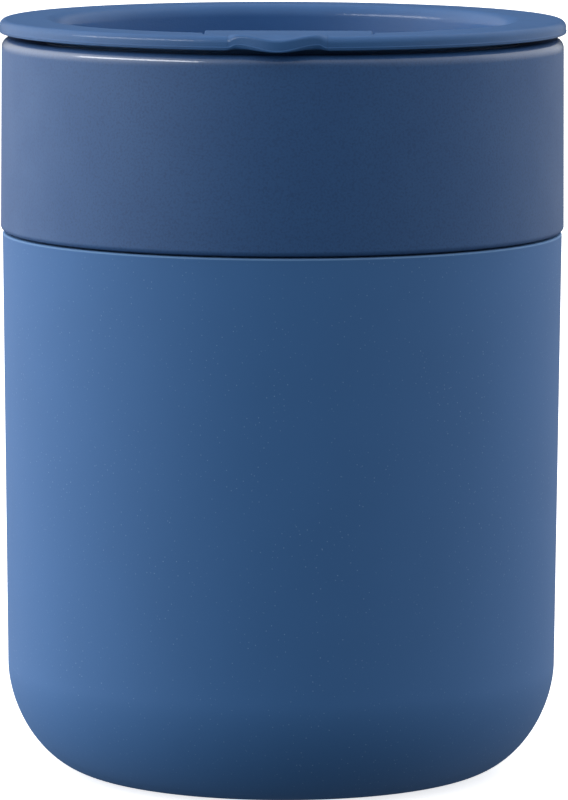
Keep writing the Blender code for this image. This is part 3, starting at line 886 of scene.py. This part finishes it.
putOn(makeCup(), "ceramic_cup", "mug", glazeMaterial)
putOn(makeSleeve(), "silicone_sleeve", "mug", sleeveMaterial)
putOn(makeLid(), "lid_body", "lid", plasticMaterial)
putOn(makeGasket(), "lid_gasket", "lid", sealMaterial)
putOn(makePin(), "hinge_pin", "lid", steelMaterial)
putOn(makeFlap(), "sip_flap", "flap", plasticMaterial)
putOn(makeStopper(), "flap_stopper", "flap", sealMaterial)


# strengths of the room's light, by where it comes from; the powers say how narrow the side walls are
room = {
    "front": 0.13,
    "back": 0.05,
    "rearSides": 0.85,
    "rearFrom": (0.15, 0.45),     # how far sideways the rear's dark middle ends and its bright sides start
    "behindFrom": (-0.1, 0.3),    # and how far back the front ends and the rear starts
    "left": 3.1,
    "leftPower": 3.0,
    "right": 1.07,
    "rightPower": 2.5,
    "top": 0.76,
    "topFrom": (0.15, 0.95),
    "below": 0.30,                # share of it all that comes from below the horizon
    "belowFrom": (-0.4, 0.0),
}


def makeWorld():
    # white to the camera; as light, a bright wall on the left, a dimmer one on the right and a lit ceiling
    world = bpy.data.worlds.new("softStudio")
    bpy.context.scene.world = world
    world.use_nodes = True
    tree = world.node_tree
    tree.nodes.clear()
    towards = addNode(tree, "ShaderNodeTexCoord").outputs["Generated"]
    axes = addNode(tree, "ShaderNodeSeparateXYZ", links={"Vector": towards}).outputs

    flipped = addNode(tree, "ShaderNodeMath", {"operation": "MULTIPLY", 1: -1.0}, {0: axes["X"]})
    leftSide = addNode(tree, "ShaderNodeMath", {"operation": "MAXIMUM", 1: 0.0}, {0: flipped.outputs[0]})
    leftWall = addNode(tree, "ShaderNodeMath", {"operation": "POWER", 1: room["leftPower"]},
                       {0: leftSide.outputs[0]})
    left = addNode(tree, "ShaderNodeMath", {"operation": "MULTIPLY", 1: room["left"]},
                   {0: leftWall.outputs[0]})
    rightSide = addNode(tree, "ShaderNodeMath", {"operation": "MAXIMUM", 1: 0.0}, {0: axes["X"]})
    rightWall = addNode(tree, "ShaderNodeMath", {"operation": "POWER", 1: room["rightPower"]},
                        {0: rightSide.outputs[0]})
    right = addNode(tree, "ShaderNodeMath", {"operation": "MULTIPLY", 1: room["right"]},
                    {0: rightWall.outputs[0]})
    walls = addNode(tree, "ShaderNodeMath", {"operation": "ADD"}, {0: left.outputs[0], 1: right.outputs[0]})

    sideways = addNode(tree, "ShaderNodeMath", {"operation": "ABSOLUTE"}, {0: axes["X"]})
    rear = addNode(tree, "ShaderNodeMapRange",
                   {"interpolation_type": "SMOOTHSTEP",
                    "From Min": room["rearFrom"][0], "From Max": room["rearFrom"][1],
                    "To Min": room["back"], "To Max": room["rearSides"]},
                   {"Value": sideways.outputs[0]})
    behind = addNode(tree, "ShaderNodeMapRange",
                     {"interpolation_type": "SMOOTHSTEP",
                      "From Min": room["behindFrom"][0], "From Max": room["behindFrom"][1]},
                     {"Value": axes["Y"]})
    around = addNode(tree, "ShaderNodeMix", {"data_type": "FLOAT", 2: room["front"]},
                     {0: behind.outputs["Result"], 3: rear.outputs["Result"]})
    ceiling = addNode(tree, "ShaderNodeMapRange",
                      {"interpolation_type": "SMOOTHSTEP",
                       "From Min": room["topFrom"][0], "From Max": room["topFrom"][1],
                       "To Min": 0.0, "To Max": room["top"]},
                      {"Value": axes["Z"]})
    upper = addNode(tree, "ShaderNodeMath", {"operation": "ADD"},
                    {0: around.outputs[0], 1: ceiling.outputs["Result"]})
    together = addNode(tree, "ShaderNodeMath", {"operation": "ADD"},
                       {0: walls.outputs[0], 1: upper.outputs[0]})
    level = addNode(tree, "ShaderNodeMapRange",
                    {"interpolation_type": "SMOOTHSTEP",
                     "From Min": room["belowFrom"][0], "From Max": room["belowFrom"][1],
                     "To Min": room["below"], "To Max": 1.0},
                    {"Value": axes["Z"]})
    light = addNode(tree, "ShaderNodeMath", {"operation": "MULTIPLY"},
                    {0: together.outputs[0], 1: level.outputs["Result"]})

    lit = addNode(tree, "ShaderNodeBackground", {"Color": (1, 1, 1, 1)}, {"Strength": light.outputs[0]})
    backdrop = addNode(tree, "ShaderNodeBackground", {"Color": (1, 1, 1, 1), "Strength": 1.0})
    seen = addNode(tree, "ShaderNodeLightPath").outputs["Is Camera Ray"]
    both = addNode(tree, "ShaderNodeMixShader", links={0: seen, 1: lit.outputs[0], 2: backdrop.outputs[0]})
    addNode(tree, "ShaderNodeOutputWorld", links={"Surface": both.outputs[0]})


paper = {
    "colour": "#F4F4F4",
    "roughness": 0.9,
    "glow": 0.75,
    "radius": 6.0,
    "drop": 0.05 * mm,            # below the mug's base
}


def makeFloor():
    bpy.ops.object.select_all(action="DESELECT")
    bpy.ops.mesh.primitive_circle_add(vertices=96, radius=paper["radius"], fill_type="NGON",
                                      location=(0, 0, -paper["drop"]))
    floor = bpy.context.object
    floor.name = "studio_floor"
    made = newMaterial("white_paper")
    tree = made.node_tree
    shader = addNode(tree, "ShaderNodeBsdfPrincipled",
                     {"Base Color": srgb(paper["colour"]), "Roughness": paper["roughness"],
                      "Emission Color": (1, 1, 1, 1), "Emission Strength": paper["glow"]})
    addNode(tree, "ShaderNodeOutputMaterial", links={"Surface": shader.outputs["BSDF"]})
    floor.data.materials.append(made)
    floor.visible_diffuse = False     # keeps its glow off the mug's sides
    floor.visible_glossy = False


strip = {
    "power": 5.4,
    "place": (-0.653, -0.287, 0.499),
    "end": (-0.464, -0.625, 0.569),    # a point that its long side runs towards
    "size": (0.787, 0.14),
}


def makeStrip():
    # a long softbox that faces the rim and only draws its narrow line in the gloss
    light = bpy.data.lights.new("stripLight", "AREA")
    light.shape = "RECTANGLE"
    light.size, light.size_y = strip["size"]
    light.energy = strip["power"]
    lamp = bpy.data.objects.new("stripLight", light)
    bpy.context.scene.collection.objects.link(lamp)
    lamp.location = strip["place"]
    back = (lamp.location - Vector((0.0, 0.0, cupTop))).normalized()
    side = Vector(strip["end"]) - lamp.location
    side = (side - back * side.dot(back)).normalized()
    lamp.rotation_euler = Matrix((side, back.cross(side), back)).transposed().to_euler()
    lamp.visible_camera = False
    lamp.visible_diffuse = False
    glossy = bpy.data.collections.new("glossyPieces")
    for name in ("stoneware_cup_fine", "lid_body_fine", "sip_flap_fine"):
        glossy.objects.link(bpy.data.objects[name])
    lamp.light_linking.receiver_collection = glossy


view = {
    "aim": (0.0, 0.0, 0.06),
    "distance": 1.0,
    "elevation": 7.04,            # degrees
    "lens": 281.57,
    "shift": (0.0027, -0.0076),
    "roll": 0.15,                 # degrees
}


def makeCamera():
    aim = Vector(view["aim"])
    camera = bpy.data.cameras.new("camera")
    camera.lens = view["lens"]
    camera.shift_x, camera.shift_y = view["shift"]
    camera.clip_start = 0.05
    eye = bpy.data.objects.new("camera", camera)
    bpy.context.scene.collection.objects.link(eye)
    rise = math.radians(view["elevation"])
    eye.location = aim + Vector((0, -math.cos(rise), math.sin(rise))) * view["distance"]
    turn = (aim - eye.location).to_track_quat("-Z", "Y").to_matrix().to_4x4()
    turn = turn @ Matrix.Rotation(math.radians(view["roll"]), 4, "Z")
    eye.rotation_euler = turn.to_euler()
    bpy.context.scene.camera = eye


makeWorld()
makeFloor()
makeStrip()
makeCamera()
bpy.context.scene.view_settings.view_transform = "Standard"
print("studio ready")
